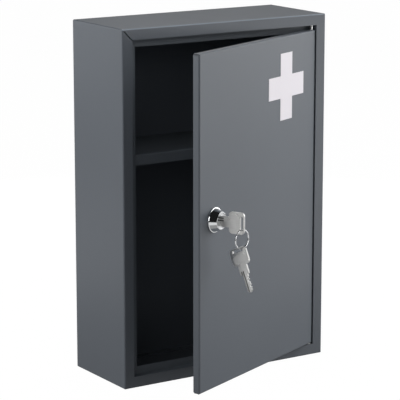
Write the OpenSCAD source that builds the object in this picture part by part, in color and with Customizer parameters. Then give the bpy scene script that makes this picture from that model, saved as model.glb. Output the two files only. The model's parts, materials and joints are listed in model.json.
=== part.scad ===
// Lockable medicine cabinet: a folded sheet-steel case with one shelf and a door
// that hangs on two pivot pins, shut by a small cam lock with two keys on a ring.
// Millimetres. The origin is the middle of the back face, between the four wall
// holes: +X to the right, +Y into the wall, +Z up. The door is drawn ajar.

/* [Case] */
// Outer width of the case
case_w = 215; // [180:1:400]
// Outer height of the case
case_h = 320; // [280:1:600]
// Outer depth of the case
case_d = 85; // [70:1:200]
// Thickness of the sheet steel
sheet_t = 0.8; // [0.6:0.1:1]
// Outer radius of the case's bends
case_bend_r = 1.3; // [1.1:0.1:3]
// Width of the flange that frames the door opening
flange_w = 10; // [8:0.5:20]
// Width of the open mitre where the ends of the folded strip meet
mitre_gap = 0.9; // [0.2:0.1:1.2]
// From the case's outer faces to the start of the open mitre
mitre_inset = 2; // [1:0.1:4]

/* [Door stop] */
// Depth from the front face to the stop strip
stop_depth = 7.4; // [7.3:0.1:12]
// Width of the stop strip
stop_w = 7; // [4:0.5:10]
// Outer radius of the bend between recess and stop strip
stop_bend_r = 1.6; // [1.2:0.1:2]

/* [Back panel] */
// Height of the flanges that weld the back panel into the case
back_flange = 8; // [5:0.5:15]
// Outer radius of the back panel's bends
back_bend_r = 1.4; // [1.2:0.1:2]
// Diameter of the wall holes
wall_hole_d = 6; // [4:0.5:8]
// Distance between the wall holes, side to side
wall_hole_dx = 140; // [80:5:160]
// Distance between the wall holes, up and down
wall_hole_dz = 200; // [150:5:260]

/* [Shelf] */
// From the top of the case down to the shelf's top face
shelf_drop = 112; // [60:1:200]
// Height of the shelf's folded front lip and sides
shelf_lip = 9.5; // [6:0.5:20]
// Clear distance between the stop strip and the shelf's lip
shelf_setback = 1; // [0.5:0.5:20]
// Outer radius of the shelf's bends
shelf_bend_r = 1.6; // [1.2:0.1:2.5]

/* [Door] */
// Gap at each side of the closed door
side_gap = 1.1; // [1:0.1:2]
// Gap under the door
foot_gap = 1; // [0.8:0.1:2]
// Gap over the door, which lets it be lifted off its lower pin
head_gap = 4.3; // [4:0.1:8]
// Depth of the folded door
door_depth = 6.4; // [5:0.1:6.6]
// Outer radius of the door's bends
door_bend_r = 1.5; // [1.2:0.1:2]
// Side of the relief notch at each corner of the door's folded edge
notch = 1.2; // [0.8:0.1:2]
// Angle at which the door stands ajar
ajar = 24; // [0:1:90]

/* [Hinge pins] */
// Diameter of the pivot pins
pin_d = 2.4; // [2:0.1:2.6]
// From the door's hinge edge to the pins' axis
pin_inset = 2.5; // [2.5:0.1:4]
// From the door's front face to the pins' axis
pin_setback = 3; // [2.6:0.1:3.2]
// Running clearance between a pin and its hole, on the radius
pin_fit = 0.05; // [0.02:0.01:0.1]
// Length of the upper pin above the door
head_pin_reach = 8; // [7:0.5:8.5]
// Length of the lower pin below the door
foot_pin_reach = 3; // [2:0.1:3.5]
// Diameter of the pins' riveted collar inside the door
collar_d = 3.2; // [2.8:0.1:3.3]
// Thickness of the pins' collar
collar_t = 1; // [0.8:0.1:2]
// Diameter of the washer that carries the door
pivot_washer_d = 5; // [4:0.1:5]

/* [Cross] */
// Span of the cross on the door
cross_span = 60; // [40:1:90]
// Width of the cross's bars
cross_bar = 20; // [10:0.5:30]
// From the door's hinge edge to the middle of the cross
cross_from_edge = 51.5; // [40:0.5:90]
// From the top of the door to the middle of the cross
cross_from_top = 45; // [40:0.5:90]
// Thickness of the cross's film
film_t = 0.2; // [0.1:0.1:0.5]

/* [Lock] */
// From the door's free edge to the lock's axis
lock_from_edge = 23; // [22:0.5:28]
// Height of the lock's axis above the middle of the door
lock_rise = 2.5; // [-90:0.5:20]
// Diameter of the lock's base ring
base_ring_d = 22; // [20:0.5:26]
// Thickness of the base ring
base_ring_t = 1.2; // [1:0.1:2]
// Diameter of the lock's cone where it leaves the base ring
cone_d = 20.4; // [18:0.2:20.8]
// Diameter of the lock's face
face_d = 15.4; // [15:0.2:17.6]
// How far the lock's face stands out of the door
face_out = 7.5; // [6:0.5:10]
// Depth of the plug's head below the lock's face
face_recess = 0.5; // [0.4:0.1:1.2]
// Width of the chamfer round the lock's face
face_rim = 0.6; // [0.3:0.1:0.8]
// Diameter of the barrel that passes through the door
barrel_d = 18; // [17:0.5:18]
// Width of the barrel across its two flats
barrel_flats = 16; // [15:0.5:16]
// Length of the barrel behind the door's face
barrel_len = 13; // [12.5:0.5:20]
// Clearance of the door's hole round the barrel
barrel_fit = 0.1; // [0.05:0.05:0.3]
// Width of the lock nut across its flats
nut_flats = 22; // [20:0.5:24]
// Thickness of the lock nut
nut_t = 3; // [2:0.5:4]
// Diameter of the toothed washer under the nut
tooth_washer_d = 22; // [21:0.5:24]
// Thickness of the toothed washer
tooth_washer_t = 1; // [0.6:0.1:1.2]
// Number of teeth on the washer
tooth_count = 16; // [12:1:24]
// Depth of the gaps between the washer's teeth
tooth_depth = 0.8; // [0.4:0.1:1]
// Width of the gaps between the washer's teeth
tooth_gap = 1.4; // [0.8:0.1:1.8]

/* [Plug] */
// Diameter of the plug's head
plug_head_d = 13.2; // [12.8:0.1:13.6]
// Thickness of the plug's head
plug_head_t = 1.4; // [1:0.1:2]
// Diameter of the plug
plug_d = 12; // [11.6:0.1:12.4]
// Running clearance round the plug, on the radius
plug_fit = 0.05; // [0.02:0.01:0.1]
// Width across the flats of the square tail that drives the cam
tail_w = 6.9; // [6:0.1:7]
// Clearance of the square holes round the tail
tail_fit = 0.1; // [0.05:0.05:0.2]
// Number of wafer tumblers in the plug
wafer_count = 5; // [3:1:5]
// Distance from one wafer to the next
wafer_pitch = 2.4; // [2:0.1:2.6]
// Thickness of a wafer
wafer_t = 0.9; // [0.6:0.1:1]
// Width of a wafer
wafer_w = 7.6; // [7:0.1:8.4]
// From the plug's head to the first wafer
wafer_inset = 1.6; // [1.2:0.1:2]

/* [Cam] */
// Angle that the lock turns through
lock_travel = 90; // [60:5:90]
// Length of the cam from the lock's axis to its tip
cam_reach = 26; // [23:0.5:30]
// Width of the cam
cam_w = 11; // [10:0.5:14]
// Thickness of the cam
cam_t = 2; // [1.5:0.1:2.5]
// Diameter of the cam's round end on the plug
cam_eye_d = 14; // [12:0.2:16]
// Clearance between the closed cam and the back of the stop strip
cam_play = 1.2; // [0.6:0.1:2]
// From the lock's axis to the start of the cam's crank
crank_from = 11; // [10.5:0.5:12]
// Length of the cam's crank
crank_len = 4; // [3:0.5:5]
// Thickness of the disc that stops the lock's turn
disc_t = 1; // [0.8:0.1:1.5]
// Diameter of the cam screw's thread
screw_d = 4; // [3:0.5:4]
// Length of the cam screw under its head
screw_len = 6.2; // [6:0.1:6.4]
// Diameter of the cam screw's head
screw_head_d = 7.2; // [6:0.2:8]
// Height of the cam screw's head
screw_head_h = 2.6; // [2:0.1:3]
// Width of the arms of the cross recess in the screw's head
recess_w = 0.8; // [0.6:0.1:1.2]
// Depth of the cross recess
recess_depth = 1.4; // [1:0.1:2]
// Thickness of the washer under the screw's head
cam_washer_t = 0.8; // [0.5:0.1:1]

/* [Keys] */
// Width of a key's bow
bow_w = 19.2; // [17:0.2:24]
// Length of a key's bow
bow_len = 15.2; // [13:0.2:18]
// Radius of the bow's corners
bow_r = 3.4; // [2:0.2:6]
// Thickness of a key
key_t = 2; // [1.6:0.1:2.2]
// Length of the slot in the bow
bow_slot_len = 12.6; // [10:0.2:14]
// Width of the slot in the bow
bow_slot_w = 2.8; // [2.6:0.1:3]
// Metal left between the slot and the end of the bow
bow_rim = 1.1; // [1:0.1:2]
// Width of the neck that stops the key at the plug
neck_w = 9.6; // [8.2:0.2:10]
// Length of the neck
neck_len = 8.2; // [5:0.2:9]
// Width of the blade
blade_w = 5.6; // [5.4:0.1:6.8]
// Length of the blade
blade_len = 16; // [15:0.5:17]
// Depth of the deepest cut in the blade
cut_depth = 1.4; // [1:0.1:2]
// Depth of the two grooves in each side of the blade
groove_depth = 0.5; // [0.2:0.05:0.6]
// Width of the grooves
groove_w = 1.2; // [0.6:0.1:1.4]
// How far the grooves run up into the neck
groove_run = 3; // [1:0.5:4]
// Width of the blade's tip
tip_w = 1.6; // [1.2:0.1:2.4]
// Length of the blade's pointed end
tip_len = 2; // [1.5:0.1:3]
// Clearance of the keyway round the blade
keyway_fit = 0.2; // [0.1:0.05:0.3]
// Angle at which the spare key hangs from the end of its slot
key_lean = 24; // [15:1:30]

/* [Key ring] */
// Outer diameter of the ring
ring_d = 17.6; // [16:0.2:22]
// Diameter of the ring's wire
wire_d = 1.2; // [0.8:0.1:1.3]
// Clearance between the wire and the end of a slot
wire_play = 0.3; // [0.2:0.05:0.4]
// Turn of the ring and the spare key away from the door's plane
ring_twist = -10; // [-15:1:15]

/* [Hidden] */
$fn = 64;
over = 1;                  // how far a cutting tool runs past the face that it cuts
slip = 0.02;               // clearance on the radius of parts that are fixed together
pin_tip = 0.4;             // chamfered end of the pivot pins
washer_play = 0.05;        // under the washer that carries the door

anthracite = [0.36, 0.38, 0.41];
anthracite_dark = [0.26, 0.28, 0.3];
bare_steel = [0.72, 0.73, 0.74];
bright_chrome = [0.86, 0.87, 0.88];

// door opening, door and pins
opening_w = case_w - 2 * flange_w;
opening_h = case_h - 2 * flange_w;
window_w = opening_w - 2 * stop_w;
window_h = opening_h - 2 * stop_w;
door_w = opening_w - 2 * side_gap;
door_h = opening_h - foot_gap - head_gap;
door_z = (foot_gap - head_gap) / 2;
door_head = door_z + door_h / 2;
door_foot = door_z - door_h / 2;
front = -case_d;
pin_x = door_w / 2 - pin_inset;
pin_y = front + pin_setback;

// shelf, between the side walls and from the stop strip to the back panel
shelf_w = case_w - 2 * sheet_t;
shelf_y = front + stop_depth + sheet_t + shelf_setback;
shelf_depth = -sheet_t - shelf_y;
shelf_z = case_h / 2 - shelf_drop;
shelf_notch_play = 0.5;    // clearance of the shelf's notches round the back panel's flanges

// lock, measured outwards from the door's face
lock_x = -door_w / 2 + lock_from_edge;
lock_z = door_z + lock_rise;
head_z = face_out - face_recess;
disc_z = -barrel_len - disc_t;
cam_z = disc_z - cam_t;
cam_tip_z = -(stop_depth + sheet_t + cam_play) - cam_t;
tail_end = cam_z + tail_fit;
screw_seat = cam_z - cam_washer_t;
screw_end = screw_seat + screw_len;
wafer_z = head_z - plug_head_t - wafer_inset;
wafer_play = 0.1;          // clearance of the plug's slots round a wafer
disc_rim = 0.9;            // how far the stop disc stands out round the plug
cam_washer_rim = 0.9;      // how far the cam's washer stands out round the screw's head
cam_washer_fit = 0.15;     // clearance of the cam's washer round the screw
keyway_w = key_t + keyway_fit;
keyway_h = blade_w + 2 * keyway_fit;
keyway_end = head_z - blade_len - 2 * keyway_fit;
disc_r = plug_d / 2 + disc_rim;
lug_r = barrel_d / 2 - 0.2;
lug_gap = 0.2;             // between the disc's rim and the lug
lap = 0.1;                 // how far forms of the lock's body run into each other
nut_corner = 0.55;         // radius of the nut's rounded corners, as a share of its width
tab_half = 15;             // half the angle that the disc's tab covers
tab_play = 1;              // free angle between tab and lug at each end of the turn

// keys, measured from the inner edge of the bow towards its outer end
slot_p = bow_len - bow_rim - bow_slot_w / 2;
slot_end = bow_slot_len / 2 - bow_slot_w / 2;
bow_z = head_z + neck_len;
wire_gap = bow_slot_w / 2 - wire_d / 2 - wire_play;
groove_shift = 0.6;        // middle groove: from the blade's middle towards its plain edge
cut_mouth = 1;             // half the width of a cut at the blade's edge
cut_floor = 0.3;           // half the width of a cut at its floor
cut_steps = [0.6, 1, 0.35, 0.8, 0.5];

// ring: hangs in the slot of the key in the lock and carries the spare key
ring_mean_r = (ring_d - wire_d) / 2;
ring_out = bow_z + slot_p;
ring_top = -slot_end - wire_gap;
ring_mid = ring_top - ring_mean_r;
ring_foot = ring_top - 2 * ring_mean_r;

// ---- shapes that repeat ----

// flat outline with its two corners at y = 0 rounded
module two_round(w, d, r) {
    translate([-w / 2, r]) square([w, d - r]);
    translate([-w / 2 + r, 0]) square([w - 2 * r, d]);
    for (side = [-1, 1]) translate([side * (w / 2 - r), r]) circle(r);
}

// flat outline with all four corners rounded
module four_round(w, h, r) {
    square([w, h - 2 * r], center = true);
    square([w - 2 * r, h], center = true);
    for (x = [-1, 1], z = [-1, 1]) translate([x * (w / 2 - r), z * (h / 2 - r)]) circle(r);
}

// block from y = 0 back to y = d, with rounded front edges and long edges
module folded_block(w, d, h, bend_r, corner_r) {
    intersection() {
        linear_extrude(h, center = true) two_round(w, d, bend_r);
        rotate([0, 90, 0]) linear_extrude(w, center = true) two_round(h, d, bend_r);
        if (corner_r > 0) rotate([-90, 0, 0]) linear_extrude(d) four_round(w, h, corner_r);
    }
}

// tray folded from sheet, its face at y = 0 and its four sides running back to y = d
module tray(w, d, h, bend_r, corner_r) {
    difference() {
        folded_block(w, d, h, bend_r, corner_r);
        translate([0, sheet_t, 0])
            folded_block(w - 2 * sheet_t, d, h - 2 * sheet_t, bend_r - sheet_t, corner_r - sheet_t);
    }
}

// straight cut through everything from y = a to y = b
module window(w, h, a, b) {
    translate([-w / 2, a, -h / 2]) cube([w, b - a, h]);
}

// upright cylinder from z = a to z = b
module rod(r, a, b) {
    translate([0, 0, a]) cylinder(r = r, h = b - a);
}

// flat ring from z = a to z = b
module flat_ring(outer_r, inner_r, a, b) {
    difference() {
        rod(outer_r, a, b);
        rod(inner_r, a - over, b + over);
    }
}

// square bar along z from z = a to z = b
module square_bar(w, a, b) {
    translate([-w / 2, -w / 2, a]) cube([w, w, b - a]);
}

// ---- places ----

// the closed door's frame, swung ajar about the pins
module at_door() {
    translate([pin_x, pin_y, 0]) rotate([0, 0, ajar]) translate([-pin_x, -pin_y, 0]) children();
}

// the lock's frame: x along the door, y up, z out of the door's face
module at_lock() {
    at_door() translate([lock_x, front, lock_z]) rotate([90, 0, 0]) children();
}

// ---- cabinet ----

module casing() {
    mitre_len = (flange_w - mitre_inset) * sqrt(2) + over;
    color(anthracite) difference() {
        translate([0, front, 0]) tray(case_w, case_d + over, case_h, case_bend_r, case_bend_r);
        window(opening_w, opening_h, front - over, front + over);
        window(case_w + over, case_h + over, 0, over + sheet_t);
        translate([-opening_w / 2, front, opening_h / 2]) rotate([0, 45, 0])
            translate([over - mitre_len, -over, -mitre_gap / 2])
                cube([mitre_len, over + sheet_t + slip, mitre_gap]);
    }
}

module stop_frame() {
    depth = stop_depth + sheet_t;
    color(anthracite_dark) difference() {
        translate([0, front + depth, 0]) mirror([0, 1, 0])
            folded_block(opening_w + 2 * sheet_t, stop_depth, opening_h + 2 * sheet_t,
                stop_bend_r, 0);
        translate([0, front + stop_depth, 0]) mirror([0, 1, 0])
            folded_block(opening_w, stop_depth, opening_h, stop_bend_r - sheet_t, 0);
        window(window_w, window_h, front, front + depth + over);
        translate([pin_x, pin_y, 0]) rod(pin_d / 2 + pin_fit, -case_h / 2, case_h / 2);
    }
}

module back_panel() {
    color(anthracite) difference() {
        mirror([0, 1, 0])
            tray(case_w - 2 * sheet_t, back_flange + sheet_t, case_h - 2 * sheet_t,
                back_bend_r, case_bend_r);
        for (x = [-1, 1], z = [-1, 1])
            translate([x * wall_hole_dx / 2, 0, z * wall_hole_dz / 2]) rotate([90, 0, 0])
                rod(wall_hole_d / 2, -over, sheet_t + over);
    }
}

// shelf block: its top at z = 0, its front at y = 0
module shelf_block(w, d, h, r) {
    intersection() {
        rotate([-90, 0, 0]) linear_extrude(d) two_round(w, h, r);
        rotate([0, 0, 90]) rotate([-90, 0, 0]) linear_extrude(w, center = true) {
            translate([r, 0]) square([d - r, h]);
            translate([0, r]) square([d, h - r]);
            translate([r, r]) circle(r);
        }
    }
}

module shelf() {
    notch_w = 2.5 * sheet_t;
    notch_d = back_flange + shelf_notch_play;
    color(anthracite_dark) translate([0, shelf_y, shelf_z]) difference() {
        shelf_block(shelf_w, shelf_depth, shelf_lip, shelf_bend_r);
        translate([0, sheet_t, -sheet_t])
            shelf_block(shelf_w - 2 * sheet_t, shelf_depth, shelf_lip, shelf_bend_r - sheet_t);
        for (side = [-1, 1])
            translate([side * shelf_w / 2 - notch_w, shelf_depth - notch_d, -shelf_lip - over])
                cube([2 * notch_w, notch_d + over, shelf_lip + 2 * over]);
    }
}

// ---- door ----

module barrel_outline(r, flats) {
    intersection() {
        circle(r);
        square([2 * r, flats], center = true);
    }
}

module door_panel() {
    relief = 2 * notch;
    color(anthracite) at_door() difference() {
        translate([0, front, door_z]) tray(door_w, door_depth, door_h, door_bend_r, 0);
        translate([0, front, door_z])
            for (x = [-1, 1], z = [-1, 1])
                translate([x * door_w / 2 - notch, door_bend_r, z * door_h / 2 - notch])
                    cube([relief, door_depth, relief]);
        translate([pin_x, pin_y, door_foot]) rod(pin_d / 2 + slip, -over, door_h + over);
        translate([lock_x, front, lock_z]) rotate([90, 0, 0]) translate([0, 0, -sheet_t - over])
            linear_extrude(sheet_t + 2 * over)
                barrel_outline(barrel_d / 2 + barrel_fit, barrel_flats + 2 * barrel_fit);
    }
}

module cross_film() {
    color("white") at_door()
        translate([door_w / 2 - cross_from_edge, front, door_head - cross_from_top])
            rotate([90, 0, 0]) linear_extrude(film_t) {
                square([cross_span, cross_bar], center = true);
                square([cross_bar, cross_span], center = true);
            }
}

// pivot pin: standing up out of the door's fold, with its collar under the sheet
module pivot_pin(reach) {
    foot = -sheet_t - collar_t;
    rotate_extrude() polygon([
        [0, foot], [collar_d / 2, foot], [collar_d / 2, -sheet_t], [pin_d / 2, -sheet_t],
        [pin_d / 2, reach - pin_tip], [pin_d / 2 - pin_tip, reach], [0, reach]]);
}

module hinge_pin_top() {
    color(bare_steel) at_door() translate([pin_x, pin_y, door_head]) pivot_pin(head_pin_reach);
}

module hinge_pin_bottom() {
    color(bare_steel) at_door() translate([pin_x, pin_y, door_foot]) mirror([0, 0, 1])
        pivot_pin(foot_pin_reach);
}

module pivot_washer() {
    color(bare_steel) at_door() translate([pin_x, pin_y, door_foot])
        flat_ring(pivot_washer_d / 2, pin_d / 2 + pin_fit, washer_play - foot_gap, 0);
}

// ---- lock body ----

module lock_body() {
    base_r = base_ring_d / 2;
    face_r = face_d / 2;
    bevel = base_ring_t / 3;
    color(bright_chrome) at_lock() difference() {
        union() {
            rotate_extrude() polygon([
                [0, 0], [base_r, 0], [base_r, base_ring_t - bevel], [base_r - bevel, base_ring_t],
                [cone_d / 2, base_ring_t], [face_r, face_out - face_rim],
                [face_r - face_rim, face_out], [0, face_out]]);
            translate([0, 0, -barrel_len]) linear_extrude(barrel_len + lap)
                barrel_outline(barrel_d / 2, barrel_flats);
            turn_lug();
        }
        rod(plug_d / 2 + plug_fit, -barrel_len - disc_t - over, face_out + over);
        rod(plug_head_d / 2 + plug_fit, head_z - plug_head_t - slip, face_out + over);
    }
}

// raised arc on the barrel's end, which the disc's tab meets at each end of the turn
module turn_lug() {
    free = lock_travel + 2 * (tab_half + tab_play);
    intersection() {
        translate([0, 0, disc_z]) rotate([0, 0, 90 + tab_half + tab_play])
            rotate_extrude(angle = 360 - free)
                translate([disc_r + lug_gap, 0]) square([lug_r - disc_r - lug_gap, disc_t + lap]);
        translate([0, 0, disc_z - over]) linear_extrude(disc_t + 2 * over)
            barrel_outline(barrel_d / 2, barrel_flats);
    }
}

module tooth_washer() {
    outer_r = tooth_washer_d / 2;
    color(bare_steel) at_lock() difference() {
        flat_ring(outer_r, barrel_d / 2 + barrel_fit, -sheet_t - tooth_washer_t, -sheet_t);
        for (i = [0 : tooth_count - 1])
            rotate([0, 0, i * 360 / tooth_count])
                translate([outer_r - tooth_depth, -tooth_gap / 2, -sheet_t - tooth_washer_t - over])
                    cube([over + tooth_depth, tooth_gap, tooth_washer_t + 2 * over]);
    }
}

module lock_nut() {
    seat = -sheet_t - tooth_washer_t;
    color(bare_steel) at_lock() difference() {
        translate([0, 0, seat - nut_t]) intersection() {
            cylinder(r = nut_flats / 2 / cos(30), h = nut_t, $fn = 6);
            cylinder(r = nut_flats * nut_corner, h = nut_t);
        }
        rod(barrel_d / 2 + slip, seat - nut_t - over, seat + over);
    }
}

// ---- plug and cam ----

module lock_plug() {
    color(bright_chrome) at_lock() difference() {
        union() {
            rod(plug_head_d / 2, head_z - plug_head_t, head_z);
            rod(plug_d / 2, -barrel_len, head_z);
            square_bar(tail_w, tail_end, over - barrel_len);
        }
        translate([-keyway_w / 2, -keyway_h / 2, keyway_end])
            cube([keyway_w, keyway_h, head_z - keyway_end + over]);
        for (i = [0 : wafer_count - 1])
            translate([-wafer_w / 2 - wafer_play, -plug_d,
                wafer_z - i * wafer_pitch - wafer_t - wafer_play])
                cube([wafer_w + 2 * wafer_play, 2 * plug_d, wafer_t + 2 * wafer_play]);
        rod(screw_d / 2, cam_z - over, screw_end + 2 * tail_fit);
    }
}

module tumblers() {
    color("goldenrod") at_lock()
        for (i = [0 : wafer_count - 1])
            translate([0, 0, wafer_z - i * wafer_pitch - wafer_t]) linear_extrude(wafer_t)
                difference() {
                    intersection() {
                        circle(plug_d / 2 - 1.5 * wafer_play);
                        square([wafer_w, plug_d], center = true);
                    }
                    square([keyway_w + keyway_fit, keyway_h + keyway_fit], center = true);
                }
}

module stop_disc() {
    color(bare_steel) at_lock() difference() {
        union() {
            rod(disc_r, disc_z, -barrel_len - slip);
            translate([0, 0, disc_z]) rotate([0, 0, 90 - tab_half])
                rotate_extrude(angle = 2 * tab_half)
                    translate([plug_d / 2, 0]) square([lug_r - lug_gap - plug_d / 2, disc_t - slip]);
        }
        square_bar(tail_w + 2 * tail_fit, disc_z - over, -barrel_len + over);
    }
}

// cam: cranked forwards so that its tip lies close behind the stop strip; it points down
module cam() {
    a = crank_from;
    b = crank_from + crank_len;
    rise = cam_tip_z - cam_z;
    slope = cam_t * (sqrt(crank_len * crank_len + rise * rise) - crank_len) / rise;
    color(bare_steel) at_lock() rotate([0, 0, -90]) difference() {
        translate([0, 0, cam_z]) union() {
            rod(cam_eye_d / 2, 0, cam_t);
            intersection() {
                translate([0, cam_w / 2, 0]) rotate([90, 0, 0]) linear_extrude(cam_w) polygon([
                    [0, 0], [a + slope, 0], [b + slope, rise], [cam_reach, rise],
                    [cam_reach, rise + cam_t], [b, rise + cam_t], [a, cam_t], [0, cam_t]]);
                linear_extrude(4 * rise, center = true) union() {
                    translate([0, -cam_w / 2]) square([cam_reach - cam_w / 2, cam_w]);
                    translate([cam_reach - cam_w / 2, 0]) circle(cam_w / 2);
                }
            }
        }
        square_bar(tail_w + 2 * tail_fit, cam_z - over, cam_z + cam_t + over);
    }
}

module cam_washer() {
    color(bare_steel) at_lock()
        flat_ring(screw_head_d / 2 + cam_washer_rim, screw_d / 2 + cam_washer_fit, screw_seat, cam_z);
}

module cam_screw() {
    head_r = screw_head_d / 2;
    thread_r = screw_d / 2 - slip;
    top = screw_seat - screw_head_h;
    color(bare_steel) at_lock() difference() {
        rotate_extrude() polygon([
            [0, top], [head_r - 0.3 * screw_head_h, top], [head_r, top + 0.2 * screw_head_h],
            [head_r, screw_seat], [thread_r, screw_seat], [thread_r, screw_end], [0, screw_end]]);
        for (turn = [0, 90])
            rotate([0, 0, turn]) translate([-screw_head_d / 3, -recess_w / 2, top - over])
                cube([screw_head_d / 1.5, recess_w, over + recess_depth]);
    }
}

// ---- keys and ring ----

// key in its own plane: the bow up, from y = 0 to the end of the bow, the blade down
module key_blank() {
    blade_top = -neck_len;
    tip = blade_top - blade_len;
    difference() {
        union() {
            translate([0, bow_len / 2]) four_round(bow_w, bow_len, bow_r);
            polygon([
                [-neck_w / 2, bow_r], [-neck_w / 2, blade_top], [-blade_w / 2, blade_top],
                [-blade_w / 2, tip + tip_len], [-tip_w / 2, tip], [tip_w / 2, tip],
                [blade_w / 2, tip + 0.75 * tip_len],
                [blade_w / 2, blade_top], [neck_w / 2, blade_top], [neck_w / 2, bow_r]]);
        }
        translate([0, slot_p]) {
            square([2 * slot_end, bow_slot_w], center = true);
            for (side = [-1, 1]) translate([side * slot_end, 0]) circle(bow_slot_w / 2);
        }
        for (i = [0 : wafer_count - 1])
            translate([-blade_w / 2,
                blade_top - plug_head_t - wafer_inset - wafer_t / 2 - i * wafer_pitch])
                polygon([[-over, -cut_mouth], [-over, cut_mouth], [0, cut_mouth],
                    [cut_steps[i] * cut_depth, cut_floor],
                    [cut_steps[i] * cut_depth, -cut_floor], [0, -cut_mouth]]);
    }
}

// solid key: on each face one groove runs along the blade's middle and one along its plain edge
module key_solid() {
    difference() {
        linear_extrude(key_t, center = true) key_blank();
        for (face = [-1, 1], across = [groove_shift, blade_w / 2])
            translate([across - groove_w / 2, -neck_len - blade_len - over,
                face > 0 ? key_t / 2 - groove_depth : -key_t / 2 - over])
                cube([groove_w, blade_len + over + groove_run, groove_depth + over]);
    }
}

module key() {
    color(bright_chrome) at_lock() translate([0, 0, bow_z]) rotate([90, 0, 90]) key_solid();
}

module key_ring() {
    color(bright_chrome) at_lock()
        translate([0, ring_mid, ring_out]) rotate([0, ring_twist, 0])
            rotate_extrude() translate([ring_mean_r, 0]) circle(wire_d / 2);
}

module spare_key() {
    wire_q = slot_end + wire_gap * sin(key_lean);
    wire_p = slot_p + wire_gap * cos(key_lean);
    color(bright_chrome) at_lock()
        translate([0, ring_foot, ring_out]) rotate([0, ring_twist - 90, 0])
            rotate([0, 0, key_lean])
                translate([-wire_q, -wire_p, 0]) rotate([0, 180, 0]) key_solid();
}

casing();
stop_frame();
back_panel();
shelf();
door_panel();
cross_film();
hinge_pin_top();
hinge_pin_bottom();
pivot_washer();
lock_body();
tooth_washer();
lock_nut();
lock_plug();
tumblers();
stop_disc();
cam();
cam_washer();
cam_screw();
key();
key_ring();
spare_key();
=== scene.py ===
# %% [markdown]
# # A small steel medicine cabinet, dressed for its portrait
# The construction is finished before this lesson starts: every sheet, pin and lock part has its
# real size and place. Here each surface gets its finish, the small cast and stamped parts get
# the rounded edges and fine forms that a drawing for the workshop leaves out, and a plain
# studio is set up round the cabinet. Lengths are metres, so millimetres are written as 5 * MM.

# %% Load the frame
import json
import math

import bmesh
import bpy
from mathutils import Matrix, Vector


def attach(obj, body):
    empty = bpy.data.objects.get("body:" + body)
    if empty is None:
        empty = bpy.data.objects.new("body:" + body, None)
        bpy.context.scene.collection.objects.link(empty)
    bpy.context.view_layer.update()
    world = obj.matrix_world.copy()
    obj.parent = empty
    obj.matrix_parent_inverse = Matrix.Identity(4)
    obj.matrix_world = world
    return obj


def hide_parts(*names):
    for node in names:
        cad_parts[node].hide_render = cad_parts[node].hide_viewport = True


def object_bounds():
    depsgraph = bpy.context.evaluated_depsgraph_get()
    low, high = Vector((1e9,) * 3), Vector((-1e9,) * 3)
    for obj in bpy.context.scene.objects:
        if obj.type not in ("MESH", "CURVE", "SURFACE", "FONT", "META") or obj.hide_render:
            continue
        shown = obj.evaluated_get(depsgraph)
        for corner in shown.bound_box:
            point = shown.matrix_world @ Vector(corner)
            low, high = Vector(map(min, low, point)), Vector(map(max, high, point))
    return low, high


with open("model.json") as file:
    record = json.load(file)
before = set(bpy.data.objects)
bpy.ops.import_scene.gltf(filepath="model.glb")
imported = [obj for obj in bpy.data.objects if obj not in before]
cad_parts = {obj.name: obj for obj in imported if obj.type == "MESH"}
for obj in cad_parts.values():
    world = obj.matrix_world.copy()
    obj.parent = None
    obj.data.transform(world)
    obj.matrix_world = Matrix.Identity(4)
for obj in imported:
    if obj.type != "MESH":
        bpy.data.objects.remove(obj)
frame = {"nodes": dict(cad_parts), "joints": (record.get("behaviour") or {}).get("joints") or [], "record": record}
cad_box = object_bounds()
MM = 0.001
scene = bpy.context.scene
nodes = frame["nodes"]
joints = {joint["name"]: joint for joint in frame["joints"]}

# %% [markdown]
# ## The camera
# A product picture is taken from well back with a long lens, so that upright edges stay nearly
# parallel; a short lens up close would splay the corners. The camera looks down on the cabinet
# a little, from its left. The lens is set from its focal length in pixels of the frame.

# %% Camera
FRAME_WIDTH, FOCAL_LENGTH = 400, 1998.94  # pixels
SENSOR_WIDTH = 36.0
CLOSEST, FARTHEST = 0.1, 60.0
turn_right, tilt_down = math.radians(32.912), math.radians(12.086)
portrait_lens = bpy.data.cameras.new("portrait_lens")
portrait_lens.sensor_width = SENSOR_WIDTH
portrait_lens.lens = SENSOR_WIDTH * FOCAL_LENGTH / FRAME_WIDTH
portrait_lens.clip_start, portrait_lens.clip_end = CLOSEST, FARTHEST
camera = bpy.data.objects.new("camera", portrait_lens)
camera.location = (-0.97176, -1.54257, 0.37431)
camera.rotation_euler = (math.pi / 2 - tilt_down, 0.0, -turn_right)
scene.collection.objects.link(camera)
scene.camera = camera
print("lens %.1f mm, %.2f m from the cabinet" % (portrait_lens.lens, camera.location.length))

# %% [markdown]
# ## The studio
# The cabinet stands on a sheet of paper in a dim room, and the lens sees paper and room as one
# white card. Light Path makes that possible: it tells what kind of ray arrives, so the lens,
# mirror images and spread light each get surroundings of their own. Polished metal only looks
# like metal when it has something dark as well as something bright to mirror, so mirror images
# show a nearly black room. One lamp can rarely suit both coat and chrome, so here some lamps
# only light, as if flagged off from the metal, and some are cards that show only in mirror
# images. Each hangs at a heading (0 is the cabinet's right, -90 its front) and a height.

# %% Floor
FLOOR_GAP = 0.05 * MM
FLOOR_REACH = 12.0
SOFT_BORDER = 0.05
DARK_PAPER = 0.05
PAPER_ROUGHNESS = 0.8
LENS_CARD = 1.1


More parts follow.
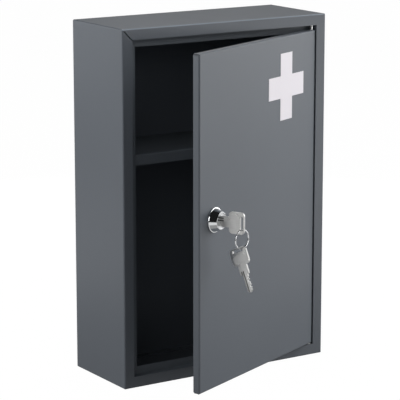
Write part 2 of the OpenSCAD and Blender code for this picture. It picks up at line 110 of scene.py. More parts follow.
def white_sweep(name, paper, lens_share, mirror_share, reach, shade):
    """Grey paper round the cabinet that the lens sees as a seamless white card.

    In mirror images the paper glows, a painted reflection of lit paper, only as far as it reaches;
    beyond it lies the dark room, and close to the cabinet the paper's colour and glow are darkened, a painted
    shade of the cabinet.
    """
    surface = bpy.data.materials.new(name)
    surface.use_nodes = True
    tree = surface.node_tree
    shader = tree.nodes["Principled BSDF"]
    shader.inputs["Roughness"].default_value = PAPER_ROUGHNESS
    place = tree.nodes.new("ShaderNodeTexCoord")
    flat = tree.nodes.new("ShaderNodeMapping")
    flat.inputs["Scale"].default_value = (1, 1, 0)
    away = tree.nodes.new("ShaderNodeVectorMath")
    away.operation = "LENGTH"
    # Painted shade: close to the cabinet the paper's colour and its glow in mirror images drop to the shade share.
    near = tree.nodes.new("ShaderNodeFloatCurve")
    curve = near.mapping.curves[0]
    curve.points[0].location, curve.points[1].location = (0, shade), (1, 0)
    for distance, share in ((reach[0] - SOFT_BORDER, shade), (reach[0], 1.0), (reach[1], 1.0),
                            (reach[1] + SOFT_BORDER, 0.0)):
        curve.points.new(distance, share)
    for point in curve.points:
        point.handle_type = "VECTOR"
    near.mapping.update()
    tone = tree.nodes.new("ShaderNodeMix")
    tone.data_type = "RGBA"
    tone.inputs[6].default_value = (DARK_PAPER, DARK_PAPER, DARK_PAPER, 1)
    tone.inputs[7].default_value = (paper, paper, paper, 1)
    tree.links.new(place.outputs["Object"], flat.inputs["Vector"])
    tree.links.new(flat.outputs["Vector"], away.inputs[0])
    tree.links.new(away.outputs["Value"], near.inputs["Value"])
    tree.links.new(near.outputs["Value"], tone.inputs[0])
    tree.links.new(tone.outputs[2], shader.inputs["Base Color"])
    ray = tree.nodes.new("ShaderNodeLightPath")
    surface_so_far = shader.outputs["BSDF"]
    # For glossy rays the paper glows as a painted reflection of lit paper; for camera rays it glows as an even
    # white card.
    for kind, share, strength, spread_as in (("Is Glossy Ray", 1.0, mirror_share, near),
                                             ("Is Camera Ray", lens_share, LENS_CARD, None)):
        card = tree.nodes.new("ShaderNodeEmission")
        card.inputs["Strength"].default_value = strength
        part = tree.nodes.new("ShaderNodeMath")
        part.operation = "MULTIPLY"
        part.inputs[1].default_value = share
        tree.links.new(ray.outputs[kind], part.inputs[0])
        if spread_as:
            tree.links.new(spread_as.outputs["Value"], part.inputs[1])
        both = tree.nodes.new("ShaderNodeMixShader")
        tree.links.new(part.outputs[0], both.inputs["Fac"])
        tree.links.new(surface_so_far, both.inputs[1])
        tree.links.new(card.outputs["Emission"], both.inputs[2])
        surface_so_far = both.outputs["Shader"]
    tree.links.new(surface_so_far, tree.nodes["Material Output"].inputs["Surface"])
    return surface


floor_shape = bmesh.new()
bmesh.ops.create_grid(floor_shape, x_segments=2, y_segments=2, size=FLOOR_REACH)
bmesh.ops.translate(floor_shape, verts=floor_shape.verts, vec=(0, 0, cad_box[0].z - FLOOR_GAP))
floor_mesh = bpy.data.meshes.new("floor")
floor_shape.to_mesh(floor_mesh)
floor_shape.free()
floor = bpy.data.objects.new("floor", floor_mesh)
floor.data.materials.append(white_sweep("white_sweep", paper=0.25, lens_share=0.9,
                                        mirror_share=0.75, reach=(0.36, 0.8), shade=0.3))
scene.collection.objects.link(floor)
print("floor at z = %.4f m" % (cad_box[0].z - FLOOR_GAP))

# %% Lamps
CASE_MIDDLE = Vector((0, -0.06, 0))


def soft_lamp(name, heading, height, distance, size, power, mirrored=True, lights=True):
    """Hangs a lamp at a heading and height in degrees, turned to the cabinet."""
    lamp = bpy.data.lights.new(name, "AREA")
    lamp.shape = "RECTANGLE"
    lamp.size, lamp.size_y = size
    lamp.energy = power
    away = Matrix.Rotation(math.radians(heading), 3, "Z") @ Matrix.Rotation(
        math.radians(-height), 3, "Y") @ Vector((distance, 0, 0))
    holder = bpy.data.objects.new(name, lamp)
    holder.location = CASE_MIDDLE + away
    holder.rotation_euler = (-away).to_track_quat("-Z", "Y").to_euler()
    holder.visible_glossy, holder.visible_diffuse = mirrored, lights
    scene.collection.objects.link(holder)
    print(name, "at", tuple(round(v, 2) for v in holder.location), "%.1f W" % power)


# name, heading and height in degrees, distance, width and height in metres, and watts
soft_lamp("door_lamp", -30, 14, 1.4, (1.5, 0.9), 9.4, mirrored=False)
soft_lamp("door_card", -30, 14, 1.4, (1.5, 0.9), 4.4, lights=False)
soft_lamp("right_lamp", 0, 14, 1.4, (1.6, 1.1), 10.8)
soft_lamp("high_door_lamp", -34, 40, 0.9, (0.5, 0.5), 1.7, mirrored=False)
soft_lamp("frame_card", -57, -2, 1.1, (0.6, 0.3), 2.2, lights=False)
soft_lamp("front_lamp", -145, 26, 1.4, (0.7, 0.6), 1.1, mirrored=False)
soft_lamp("side_lamp", 175, 27, 0.76, (0.5, 0.5), 3.1)
soft_lamp("rear_side_lamp", 120, 12, 1.4, (0.8, 0.8), 2.4)
soft_lamp("top_lamp", 55, 35, 1.4, (0.6, 0.4), 1.55)
soft_lamp("key_card", 162, -1, 1.2, (1.0, 0.4), 0.45, lights=False)

# %% Room
room = bpy.data.worlds.new("room")
scene.world = room
room.use_nodes = True
air = room.node_tree
air.nodes.clear()
backgrounds = {}
for name, strength in (("white_card", 1.0), ("dim_room", 0.36), ("dark_room", 0.012)):
    background = air.nodes.new("ShaderNodeBackground")
    background.inputs["Color"].default_value = (1, 1, 1, 1)
    background.inputs["Strength"].default_value = strength
    backgrounds[name] = background.outputs["Background"]
ray = air.nodes.new("ShaderNodeLightPath")
surroundings = backgrounds["dim_room"]
for kind, shown in (("Is Glossy Ray", "dark_room"), ("Is Camera Ray", "white_card")):
    chosen = air.nodes.new("ShaderNodeMixShader")
    air.links.new(ray.outputs[kind], chosen.inputs["Fac"])
    air.links.new(surroundings, chosen.inputs[1])
    air.links.new(backgrounds[shown], chosen.inputs[2])
    surroundings = chosen.outputs["Shader"]
room_out = air.nodes.new("ShaderNodeOutputWorld")
air.links.new(surroundings, room_out.inputs["Surface"])
scene.view_settings.view_transform = "Standard"
scene.view_settings.look = "None"
print("room with", list(backgrounds))

# %% [markdown]
# ## Effects that several finishes share
# Powder coat, film, zinc and nickel all need a fine grain, and every metal part has been
# handled. Such an effect is a node group: it is built once, and each material sets its own
# values on it. A group gives out colours, masks and heights only; the shader itself stays in
# the material.


# %% Group helper
def effect_group(name, inputs, outputs):
    """Makes an empty node group with named sockets, and gives it with its two end nodes."""
    group = bpy.data.node_groups.new(name, "ShaderNodeTree")
    for label, kind, value in inputs:
        socket = group.interface.new_socket(label, in_out="INPUT", socket_type=kind)
        if value is not None:
            socket.default_value = value
    for label, kind in outputs:
        group.interface.new_socket(label, in_out="OUTPUT", socket_type=kind)
    return group, group.nodes.new("NodeGroupInput"), group.nodes.new("NodeGroupOutput")


def add(tree, kind, **settings):
    """Adds a node; each setting is a property of it or, failing that, one of its sockets."""
    node = tree.nodes.new(kind)
    for key, value in settings.items():
        if key in node.bl_rna.properties:
            setattr(node, key, value)
        else:
            node.inputs[key.replace("_", " ").title()].default_value = value
    return node


# %% Sprayed grain: the soft orange peel and fine speckle of a baked powder coat
SPECKLE_IN_TONE = 0.45


def make_sprayed_grain():
    group, given, result = effect_group(
        "sprayed_grain",
        [("Vector", "NodeSocketVector", None), ("Peel Scale", "NodeSocketFloat", 700.0),
         ("Speckle Scale", "NodeSocketFloat", 3500.0), ("Speckle Share", "NodeSocketFloat", 0.35)],
        [("Height", "NodeSocketFloat"), ("Tone", "NodeSocketFloat")])
    peel = add(group, "ShaderNodeTexNoise", detail=2.0, roughness=0.5)
    speckle = add(group, "ShaderNodeTexNoise", detail=1.0, roughness=0.6)
    cloud = add(group, "ShaderNodeTexNoise", scale=9.0, detail=3.0, roughness=0.55)
    group.links.new(given.outputs["Vector"], peel.inputs["Vector"])
    group.links.new(given.outputs["Vector"], speckle.inputs["Vector"])
    group.links.new(given.outputs["Vector"], cloud.inputs["Vector"])
    group.links.new(given.outputs["Peel Scale"], peel.inputs["Scale"])
    group.links.new(given.outputs["Speckle Scale"], speckle.inputs["Scale"])
    height = add(group, "ShaderNodeMix", data_type="FLOAT")
    group.links.new(given.outputs["Speckle Share"], height.inputs[0])
    group.links.new(peel.outputs["Fac"], height.inputs[2])
    group.links.new(speckle.outputs["Fac"], height.inputs[3])
    tone = add(group, "ShaderNodeMix", data_type="FLOAT")
    tone.inputs[0].default_value = SPECKLE_IN_TONE
    group.links.new(cloud.outputs["Fac"], tone.inputs[2])
    group.links.new(speckle.outputs["Fac"], tone.inputs[3])
    group.links.new(height.outputs[0], result.inputs["Height"])
    group.links.new(tone.outputs[0], result.inputs["Tone"])
    return group


# %% Handled metal: smears, and hairlines drawn out in one direction
def make_handled_metal():
    group, given, result = effect_group(
        "handled_metal",
        [("Vector", "NodeSocketVector", None), ("Line Scale", "NodeSocketVector", (900, 60, 900)),
         ("Smear Scale", "NodeSocketFloat", 160.0)],
        [("Lines", "NodeSocketFloat"), ("Smears", "NodeSocketFloat")])
    drawn = add(group, "ShaderNodeMapping", vector_type="POINT")
    lines = add(group, "ShaderNodeTexNoise", scale=1.0, detail=4.0, roughness=0.65)
    smears = add(group, "ShaderNodeTexNoise", detail=4.0, roughness=0.6, distortion=0.6)
    group.links.new(given.outputs["Vector"], drawn.inputs["Vector"])
    group.links.new(given.outputs["Line Scale"], drawn.inputs["Scale"])
    group.links.new(drawn.outputs["Vector"], lines.inputs["Vector"])
    group.links.new(given.outputs["Vector"], smears.inputs["Vector"])
    group.links.new(given.outputs["Smear Scale"], smears.inputs["Scale"])
    group.links.new(lines.outputs["Fac"], result.inputs["Lines"])
    group.links.new(smears.outputs["Fac"], result.inputs["Smears"])
    return group


sprayed_grain, handled_metal = make_sprayed_grain(), make_handled_metal()
print("groups:", sprayed_grain.name, handled_metal.name)


# %% Material helpers
MIDDLE, WIDE_MIDDLE = (0.35, 0.65), (0.3, 0.7)


def new_finish(name):
    """Starts a material, and gives it with its tree, its shader and its coordinates."""
    finish = bpy.data.materials.new(name)
    finish.use_nodes = True
    tree = finish.node_tree
    place = tree.nodes.new("ShaderNodeTexCoord")
    return finish, tree, tree.nodes["Principled BSDF"], place


def place_group(tree, group, vector, **values):
    """Places a shared effect in a material, with the material's own values on its sockets."""
    node = tree.nodes.new("ShaderNodeGroup")
    node.node_tree = group
    tree.links.new(vector, node.inputs["Vector"])
    for key, value in values.items():
        node.inputs[key.replace("_", " ").title()].default_value = value
    return node


def spread(tree, source, low, high, out_low, out_high):
    """Maps a noise value's middle range to the range that a socket needs."""
    node = add(tree, "ShaderNodeMapRange", clamp=True)
    node.inputs["From Min"].default_value, node.inputs["From Max"].default_value = low, high
    node.inputs["To Min"].default_value, node.inputs["To Max"].default_value = out_low, out_high
    tree.links.new(source, node.inputs["Value"])
    return node.outputs["Result"]


def blend_colours(tree, share, first, second):
    """Mixes two plain colours by a share that changes over the surface."""
    node = add(tree, "ShaderNodeMix", data_type="RGBA")
    node.inputs[6].default_value, node.inputs[7].default_value = (*first, 1), (*second, 1)
    tree.links.new(share, node.inputs[0])
    return node.outputs[2]


def raise_surface(tree, shader, height, distance, strength):
    """Lets a height pattern tilt the surface's normals, as fine relief does."""
    bump = tree.nodes.new("ShaderNodeBump")
    bump.inputs["Strength"].default_value = strength
    bump.inputs["Distance"].default_value = distance
    tree.links.new(height, bump.inputs["Height"])
    tree.links.new(bump.outputs["Normal"], shader.inputs["Normal"])


# %% [markdown]
# ## Powder coat
# The sheet steel is coated with anthracite powder, baked to a satin film about 0.1 mm thick.
# Close up it is never flat: it flows into a soft orange peel with a wave of a millimetre or two,
# with a finer speckle on top, and its tone drifts by less than a tenth. The inside is coated
# less evenly, so it is rougher. A mask from the part's own coordinates makes the bend along the
# case's top front edge lighter in colour: a painted highlight, standing in for the lamps' sheen on that bend.


# %% Powder coat finishes
CASE_FRONT = -85.0 * MM
CASE_TOP = 160.0 * MM
BEND = 1.3 * MM
# how much lighter the painted highlight on the case's top front bend is
BEND_HIGHLIGHT_GAIN = 2.3


def powder_coat(name, dark, light, rough_low, rough_high, peel):
    """Satin coat between two tones and two roughnesses, with orange peel of a given height, and a painted
    highlight on the case's top front bend.
    """
    finish, tree, shader, place = new_finish(name)
    grain = place_group(tree, sprayed_grain, place.outputs["Object"])
    tone = spread(tree, grain.outputs["Tone"], *MIDDLE, 0.0, 1.0)
    sides = tree.nodes.new("ShaderNodeSeparateXYZ")
    tree.links.new(place.outputs["Object"], sides.inputs["Vector"])
    # Painted highlight: a mask on the bend along the case's top front edge lightens the coat's colour there.
    high = spread(tree, sides.outputs["Z"], CASE_TOP - BEND, CASE_TOP - BEND / 2, 0.0, 1.0)
    ahead = spread(tree, sides.outputs["Y"], CASE_FRONT + BEND, CASE_FRONT + BEND / 2, 0.0, 1.0)
    on_bend = add(tree, "ShaderNodeMath", operation="MULTIPLY")
    tree.links.new(high, on_bend.inputs[0])
    tree.links.new(ahead, on_bend.inputs[1])
    painted_highlight = tree.nodes.new("ShaderNodeMix")
    painted_highlight.data_type = "RGBA"
    tree.links.new(on_bend.outputs["Value"], painted_highlight.inputs[0])
    tree.links.new(blend_colours(tree, tone, dark, light), painted_highlight.inputs[6])
    painted_highlight.inputs[7].default_value = (*(BEND_HIGHLIGHT_GAIN * part for part in light), 1)
    tree.links.new(painted_highlight.outputs[2], shader.inputs["Base Color"])
    tree.links.new(spread(tree, grain.outputs["Tone"], *WIDE_MIDDLE, rough_low, rough_high),
                   shader.inputs["Roughness"])
    raise_surface(tree, shader, grain.outputs["Height"], peel, 0.5)
    return finish


finishes = {
    "powder_coat": powder_coat(
        "powder_coat", dark=(0.102, 0.115, 0.134), light=(0.111, 0.126, 0.146),
        rough_low=0.36, rough_high=0.44, peel=0.05 * MM),
    "powder_coat_inside": powder_coat(
        "powder_coat_inside", dark=(0.101, 0.116, 0.134), light=(0.110, 0.127, 0.146),
        rough_low=0.5, rough_high=0.6, peel=0.06 * MM),
}
print("made", list(finishes))

# %% [markdown]
# ## Film, plating and bare metal
# The cross is matt white film. The lock's body, face and ring are chrome plate: colourless and
# almost mirror smooth, with only smears in its gloss. The keys are stamped and satin nickel
# plated, a little warm, with hairlines along the blade, and they carry zones of their own: satin
# on the raised field, and painted shade in the grooves, a darker colour where the grooves lie in shade.
# Hidden lock parts are bright zinc plate, which shimmers slightly from blue to straw. The hinge
# pins are bare drawn steel and the tumblers brass.


# %% Film and metal finishes
FIELD_ROUGHNESS = 0.46
# colour of the painted shade in the keys' grooves
GROOVE_SHADE = (0.24, 0.24, 0.24)


def white_film():
    """Matt film: the coat's grain at a finer scale, and a barely raised surface."""
    finish, tree, shader, place = new_finish("white_film")
    grain = place_group(tree, sprayed_grain, place.outputs["Object"], peel_scale=1500.0)
    tone = spread(tree, grain.outputs["Tone"], *WIDE_MIDDLE, 0.0, 1.0)
    tree.links.new(blend_colours(tree, tone, (0.775, 0.745, 0.785), (0.81, 0.775, 0.82)),
                   shader.inputs["Base Color"])
    tree.links.new(spread(tree, grain.outputs["Tone"], *WIDE_MIDDLE, 0.5, 0.6),
                   shader.inputs["Roughness"])
    raise_surface(tree, shader, grain.outputs["Height"], 0.02 * MM, 0.4)
    return finish


def key_zones(tree, shader, colour, roughness):
    """Satin on the raised field and painted shade in the grooves, where the keys' own zones say so."""
    zones = tree.nodes.new("ShaderNodeAttribute")
    zones.attribute_name = "key_zones"
    split = tree.nodes.new("ShaderNodeSeparateColor")
    tree.links.new(zones.outputs["Color"], split.inputs["Color"])
    satin = add(tree, "ShaderNodeMix", data_type="FLOAT")
    satin.inputs[3].default_value = FIELD_ROUGHNESS
    tree.links.new(split.outputs["Red"], satin.inputs[0])
    tree.links.new(roughness, satin.inputs[2])
    tree.links.new(satin.outputs[0], shader.inputs["Roughness"])
    # Painted shade: faces in the grooves are given the darker groove colour.
    groove_shade = add(tree, "ShaderNodeMix", data_type="RGBA")
    groove_shade.inputs[7].default_value = (*GROOVE_SHADE, 1)
    tree.links.new(split.outputs["Green"], groove_shade.inputs[0])
    tree.links.new(colour, groove_shade.inputs[6])
    tree.links.new(groove_shade.outputs[2], shader.inputs["Base Color"])


def metal(name, dark, light, rough_low, rough_high, line_scale, line_depth, own_map=False):
    """Plated or bare metal with hairlines and smears; own_map follows a stored key map."""
    finish, tree, shader, place = new_finish(name)
    shader.inputs["Metallic"].default_value = 1.0
    vector = place.outputs["UV" if own_map else "Object"]
    touched = place_group(tree, handled_metal, vector)
    touched.inputs["Line Scale"].default_value = line_scale
    tone = spread(tree, touched.outputs["Lines"], *WIDE_MIDDLE, 0.0, 1.0)
    colour = blend_colours(tree, tone, dark, light)
    roughness = spread(tree, touched.outputs["Smears"], *MIDDLE, rough_low, rough_high)
    tree.links.new(colour, shader.inputs["Base Color"])
    tree.links.new(roughness, shader.inputs["Roughness"])
    if own_map:
        key_zones(tree, shader, colour, roughness)
    if line_depth:
        raise_surface(tree, shader, touched.outputs["Lines"], line_depth, 0.5)
    return finish


finishes["white_film"] = white_film()
finishes["chrome"] = metal(
    "chrome", dark=(0.80, 0.81, 0.82), light=(0.84, 0.85, 0.86), rough_low=0.05,
    rough_high=0.12, line_scale=(300, 300, 300), line_depth=0)
finishes["nickel"] = metal(
    "nickel", dark=(0.68, 0.68, 0.675), light=(0.78, 0.78, 0.77), rough_low=0.26,
    rough_high=0.36, line_scale=(2500, 160, 2500), line_depth=0.012 * MM, own_map=True)
finishes["zinc"] = metal(
    "zinc", dark=(0.60, 0.63, 0.68), light=(0.70, 0.69, 0.62), rough_low=0.22,
    rough_high=0.38, line_scale=(260, 260, 900), line_depth=0.01 * MM)
finishes["bright_steel"] = metal(
    "bright_steel", dark=(0.80, 0.80, 0.79), light=(0.88, 0.88, 0.87), rough_low=0.32,
    rough_high=0.42, line_scale=(200, 200, 6000), line_depth=0.01 * MM)
finishes["brass"] = metal(
    "brass", dark=(0.70, 0.52, 0.22), light=(0.80, 0.62, 0.30), rough_low=0.25,
    rough_high=0.4, line_scale=(900, 900, 900), line_depth=0.01 * MM)
slot_of = {part["node"]: part["material_slot"] for part in frame["record"]["subparts"]}
for node_name, node in nodes.items():
    node.data.materials.clear()
    node.data.materials.append(finishes[slot_of[node_name]])
print("finished", len(nodes), "nodes in", len(finishes), "finishes")


# %% [markdown]
# ## Easing the edges of small metal parts
# A stamped or turned part never has a knife edge: tumbling, plating and handling round it by a
# tenth of a millimetre, and that thin round is what catches the light. The part's own solid is
# copied, its loose triangles are joined and its flat faces made whole, and then a bevel rounds
# every edge sharper than 32 degrees. Rebuilding each part from nothing would only copy sizes
# that are already right.


# %% Piece helpers
JOIN_WITHIN = 0.002 * MM
FLAT_WITHIN = math.radians(0.4)
SHARP_ANGLE = 32.0
SMOOTH_UNDER = math.radians(40)
FACE_WEIGHT = 90


def joined_copy(node_name):
    """Copies a node's solid into a bmesh, with its triangles joined and flat faces made whole."""
    shape = bmesh.new()
    shape.from_mesh(nodes[node_name].data)
    bmesh.ops.remove_doubles(shape, verts=shape.verts, dist=JOIN_WITHIN)
    bmesh.ops.dissolve_limit(shape, angle_limit=FLAT_WITHIN, verts=shape.verts,
                             edges=shape.edges, use_dissolve_boundaries=False)
    return shape


def round_edges(shape, width, segments=2, between=(-math.inf, math.inf)):
    """Bevels every sharp edge whose first end lies between two heights."""
    sharp = [e for e in shape.edges if len(e.link_faces) == 2
             and e.calc_face_angle(0) > math.radians(SHARP_ANGLE)
             and between[0] < e.verts[0].co.z < between[1]]
    bmesh.ops.bevel(shape, geom=sharp, offset=width, segments=segments, profile=0.5,
                    affect="EDGES", clamp_overlap=True, material=-1)


def finish_piece(name, shape, body, slot, stands_for=()):
    """Makes a bmesh into a piece that rides on a body and stands for CAD nodes."""
    bmesh.ops.recalc_face_normals(shape, faces=shape.faces)
    for face in shape.faces:
        face.smooth = True
    mesh = bpy.data.meshes.new(name)
    shape.to_mesh(mesh)
    shape.free()
    mesh.set_sharp_from_angle(angle=SMOOTH_UNDER)
    mesh.materials.append(finishes[slot])
    piece = bpy.data.objects.new(name, mesh)
    scene.collection.objects.link(piece)
    even = piece.modifiers.new("even_normals", "WEIGHTED_NORMAL")
    even.keep_sharp = True
    even.weight = FACE_WEIGHT
    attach(piece, body)
    for node_name in stands_for:
        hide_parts(node_name)
    print("%-16s %6d faces, rides on %s" % (name, len(mesh.polygons), body))
    return piece


# %% Eased lock and hinge parts
body_of = {member: body for body, members in frame["record"]["behaviour"]["bodies"].items()
           for member in members}
ease_of = {"hinge_pin_top": 0.12, "hinge_pin_bottom": 0.12, "pivot_washer": 0.1,
           "lock_nut": 0.25, "tooth_washer": 0.1, "stop_disc": 0.1, "cam": 0.25,
           "cam_washer": 0.12, "cam_screw": 0.12, "lock_plug": 0.12}
for node_name, ease in ease_of.items():
    shape = joined_copy(node_name)
    round_edges(shape, ease * MM)
    finish_piece(node_name + "_eased", shape, body_of[node_name], slot_of[node_name], [node_name])

# %% [markdown]
# ## The lock's frame
# Everything on the lock is easiest to model lying flat: x along the door, y up and z straight
# out of the door's face. The joint that turns the lock gives that frame: its axis points into
# the door, so z is the opposite way, and x follows from y and z.

# %% Lock frame
lock_point = Vector(joints["lock_turn"]["pos_m"])
outward = -Vector(joints["lock_turn"]["axis"]).normalized()
upward = Vector((0, 0, 1))
along = upward.cross(outward)
lock_frame = Matrix.Translation(lock_point) @ Matrix(
    (along, upward, outward)).transposed().to_4x4()
print("lock at", tuple(round(v / MM, 2) for v in lock_point), "mm, facing",
      tuple(round(v, 3) for v in outward))

# %% [markdown]
# ## The lock's body
# The body is one zinc casting, turned, polished and chromed: a thin base ring on the door, a
# tapered collar, and a bright face ring round the recessed plug. All of it is round, so half a
# cross section is drawn as a chain of points and spun through a full turn. The bevel then rolls
# each corner of the section. Behind the door the barrel carries a thread with two flats.


# %% Spun profiles
def spin_profile(points, steps):
    """Spins a closed chain of (radius, height) points in mm once round the z axis."""
    shape = bmesh.new()
    corners = [shape.verts.new((r * MM, 0, z * MM)) for r, z in points]
    edges = [shape.edges.new((a, b)) for a, b in zip(corners, corners[1:] + corners[:1])]
    bmesh.ops.spin(shape, geom=corners + edges, cent=(0, 0, 0), axis=(0, 0, 1), dvec=(0, 0, 0),
                   angle=math.tau, steps=steps, use_merge=True, use_duplicate=False)
    bmesh.ops.remove_doubles(shape, verts=shape.verts, dist=0.0005 * MM)
    bmesh.ops.recalc_face_normals(shape, faces=shape.faces)
    return shape


# %% Collar and base ring; a profile is in mm, as spin_profile takes it
ROUND_STEPS = 96
BORE, FACE_BORE = 6.05, 6.65
FACE_FLOOR, FACE_TOP = 5.58, 7.5
CONE_HEAD, CONE_FOOT = 7.7, 10.2
BASE_RADIUS, BASE_THICK = 11.0, 1.2
SEAT_RADIUS, SEAT_BACK = 9.1, -0.4
collar = spin_profile([(BORE, SEAT_BACK), (BORE, FACE_FLOOR), (FACE_BORE, FACE_FLOOR),
                       (FACE_BORE, FACE_TOP), (CONE_HEAD, FACE_TOP), (CONE_FOOT, BASE_THICK),
                       (BASE_RADIUS, BASE_THICK), (BASE_RADIUS, 0.0), (SEAT_RADIUS, 0.0),
                       (SEAT_RADIUS, SEAT_BACK)], ROUND_STEPS)
FACE_EASE, BASE_EASE = 0.22 * MM, 0.08 * MM
FACE_STARTS = 5 * MM
round_edges(collar, FACE_EASE, segments=3, between=(FACE_STARTS, 8 * MM))
round_edges(collar, BASE_EASE, between=(-MM, FACE_STARTS))
print("collar with", len(collar.faces), "faces")

# %% Threaded barrel with two flats
CREST, ROOT, PITCH = 9.0, 8.62, 1.0
ROOT_START, ROOT_STOP = 0.42, 0.58
THREAD_END = -12.2
NECK_RADIUS, NECK_TOP = 8.7, 0.2
END_RADIUS, BARREL_END = 8.5, -13.0
FLAT_OUT = 8 * MM
thread = [(CREST, SEAT_BACK)]
while thread[-1][1] > THREAD_END:
    z = thread[-1][1]
    thread += [(ROOT, z - ROOT_START), (ROOT, z - ROOT_STOP), (CREST, z - PITCH)]
barrel = spin_profile([(BORE, NECK_TOP), (NECK_RADIUS, NECK_TOP)] + thread
                      + [(END_RADIUS, BARREL_END), (BORE, BARREL_END)], ROUND_STEPS)
for side in (1, -1):
    cut = bmesh.ops.bisect_plane(barrel, geom=barrel.verts[:] + barrel.edges[:] + barrel.faces[:],
                                 plane_co=(0, side * FLAT_OUT, 0), plane_no=(0, side, 0),
                                 clear_outer=True)
    rim = [e for e in cut["geom_cut"] if isinstance(e, bmesh.types.BMEdge)]
    bmesh.ops.holes_fill(barrel, edges=rim, sides=0)
print("barrel with", len(barrel.faces), "faces")

# %% Body put together: collar, barrel, and the stop lug behind them from the solid
LUG_START = -12.9 * MM


def join_to(whole, part, name):
    """Adds a bmesh to another, by way of a mesh, and frees it."""
    mesh = bpy.data.meshes.new(name)
    part.to_mesh(mesh)
    part.free()
    whole.from_mesh(mesh)


join_to(collar, barrel, "barrel_part")
lug = joined_copy("lock_body")
bmesh.ops.transform(lug, matrix=lock_frame.inverted(), verts=lug.verts)
bmesh.ops.bisect_plane(lug, geom=lug.verts[:] + lug.edges[:] + lug.faces[:],
                       plane_co=(0, 0, LUG_START), plane_no=(0, 0, 1), clear_outer=True)
bmesh.ops.holes_fill(lug, edges=[e for e in lug.edges if e.is_boundary], sides=0)
join_to(collar, lug, "lug_part")
bmesh.ops.transform(collar, matrix=lock_frame, verts=collar.verts)
finish_piece("lock_body_turned", collar, "door", "chrome", ["lock_body"])

# %% [markdown]
# ## The keys
# Each key is stamped from 2 mm sheet and nickel plated: a broad bow with a long slot for the
# ring, a neck that meets the lock's face, and a grooved blade with cuts for the tumblers. The
# stamping leaves soft edges and a slightly raised field on both sides of the bow. The blank is
# eased as the other parts are, and the field is a thin plate with rounded corners, let into the
# bow. The hairlines run along the blade, so a map of the key's own length and width is stored.

# %% Keys
BOW_TO_LOCK = 15.2 * MM
SLOT_HIGH, SLOT_HALF, WIRE_GAP = 12.7 * MM, 4.9 * MM, 0.5 * MM
KEY_LEAN, RING_TWIST = math.radians(24), math.radians(-10)
KEY_HALF = MM
FIELD_WIDE, FIELD_HIGH, FIELD_Y = 15.0 * MM, 7.6 * MM, 5.4 * MM
FIELD_PROUD, FIELD_CORNER = 0.16 * MM, 2.2 * MM
KEY_EASE, FIELD_EASE = 0.22 * MM, 0.7 * FIELD_PROUD
GROOVE_BELOW = 0.7 * MM
in_lock = lock_frame @ Matrix.Translation((0, 0, BOW_TO_LOCK)) @ Matrix(
    ((0, 0, 1, 0), (1, 0, 0, 0), (0, 1, 0, 0), (0, 0, 0, 1)))
ring_foot = lock_frame.inverted() @ Vector(joints["spare_key_swing"]["pos_m"])
hanging = (lock_frame @ Matrix.Translation(ring_foot)
           @ Matrix.Rotation(RING_TWIST - math.pi / 2, 4, "Y") @ Matrix.Rotation(KEY_LEAN, 4, "Z")
           @ Matrix.Translation((-SLOT_HALF - WIRE_GAP * math.sin(KEY_LEAN),
                                 -SLOT_HIGH - WIRE_GAP * math.cos(KEY_LEAN), 0))
           @ Matrix.Rotation(math.pi, 4, "Y"))


def add_field(shape):
    """Lets a thin plate with rounded corners into the bow, a little proud on both sides."""
    plate = bmesh.ops.create_cube(shape, size=1.0)["verts"]
    bmesh.ops.scale(shape, vec=(FIELD_WIDE, FIELD_HIGH, 2 * (KEY_HALF + FIELD_PROUD)), verts=plate)
    bmesh.ops.translate(shape, vec=(0, FIELD_Y, 0), verts=plate)
    edges = {e for v in plate for e in v.link_edges}
    upright = [e for e in edges if abs(e.verts[0].co.z - e.verts[1].co.z) > KEY_HALF]
    bmesh.ops.bevel(shape, geom=upright, offset=FIELD_CORNER, segments=6, profile=0.5,
                    affect="EDGES", clamp_overlap=True, material=-1)
    flat = {e for f in shape.faces if abs(f.normal.z) > 0.9 and abs(abs(f.calc_center_median().z)
            - KEY_HALF - FIELD_PROUD) < 0.01 * MM for e in f.edges}
    bmesh.ops.bevel(shape, geom=list(flat), offset=FIELD_EASE, segments=2, profile=0.5,
                    affect="EDGES", clamp_overlap=True, material=-1)


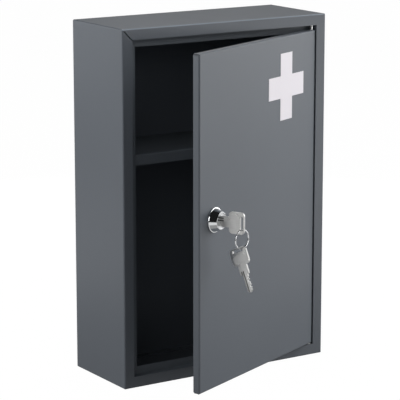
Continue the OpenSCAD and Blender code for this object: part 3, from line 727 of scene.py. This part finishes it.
def stamped_key(node_name, placed):
    """Eases a key, adds its fields, and stores its own map and zones."""
    shape = joined_copy(node_name)
    bmesh.ops.transform(shape, matrix=placed.inverted(), verts=shape.verts)
    round_edges(shape, KEY_EASE, segments=3)
    add_field(shape)
    own_map = shape.loops.layers.uv.new("key_map")
    zones = shape.loops.layers.float_color.new("key_zones")
    for face in shape.faces:
        middle = face.calc_center_median()
        on_field = abs(middle.z) > 1.05 * KEY_HALF
        # Faces deep in the grooves get the zone that carries the painted groove shade.
        in_groove = abs(middle.z) < GROOVE_BELOW and abs(face.normal.z) > 0.5
        for loop in face.loops:
            loop[own_map].uv = (loop.vert.co.x, loop.vert.co.y)
            loop[zones] = (float(on_field), float(in_groove), 0, 1)
    bmesh.ops.transform(shape, matrix=placed, verts=shape.verts)
    return finish_piece(node_name + "_stamped", shape, body_of[node_name], "nickel", [node_name])


stamped_key("key", in_lock)
stamped_key("spare_key", hanging)

# %% [markdown]
# ## The split ring
# A key ring is two turns of flattened spring wire that lie side by side. Both ends lie against
# the other turn, and in one short stretch the wire steps from one turn to the next. A section
# of the wire is spun almost once round, then a little further with a sideways shift for the
# step, and then round again.

# %% Split ring
RING_MEAN = 8.2 * MM
WIRE_WIDE, WIRE_THICK = 1.0 * MM, 0.5 * MM
STEP, STEP_PLACE = math.radians(22), math.radians(150)
ring_top = lock_frame.inverted() @ Vector(joints["ring_swing"]["pos_m"])
ring_place = (lock_frame @ Matrix.Translation(ring_top - Vector((0, RING_MEAN, 0)))
              @ Matrix.Rotation(RING_TWIST, 4, "Y"))
coil = bmesh.new()
wire = bmesh.ops.create_circle(coil, cap_ends=True, segments=12, radius=0.5)["verts"]
bmesh.ops.transform(coil, verts=wire, matrix=Matrix.Translation((RING_MEAN, 0, -WIRE_THICK / 2))
                    @ Matrix.Rotation(math.pi / 2, 4, "X")
                    @ Matrix.Diagonal((WIRE_WIDE, WIRE_THICK, 1, 1)))
end = coil.faces[:]
for sweep, shift, steps in ((math.tau - STEP, 0, 80), (STEP, WIRE_THICK, 8),
                            (math.tau - STEP, 0, 80)):
    spun = bmesh.ops.spin(coil, geom=end, cent=(0, 0, 0), axis=(0, 0, 1),
                          dvec=(0, 0, shift / steps), angle=sweep, steps=steps,
                          use_merge=False, use_duplicate=False)
    end = [g for g in spun["geom_last"] if isinstance(g, bmesh.types.BMFace)]
bmesh.ops.remove_doubles(coil, verts=coil.verts, dist=0.0002 * MM)
bmesh.ops.rotate(coil, verts=coil.verts, cent=(0, 0, 0),
                 matrix=Matrix.Rotation(STEP_PLACE, 3, "Z"))
bmesh.ops.transform(coil, matrix=ring_place, verts=coil.verts)
finish_piece("split_ring", coil, "ring", "chrome", ["key_ring"])
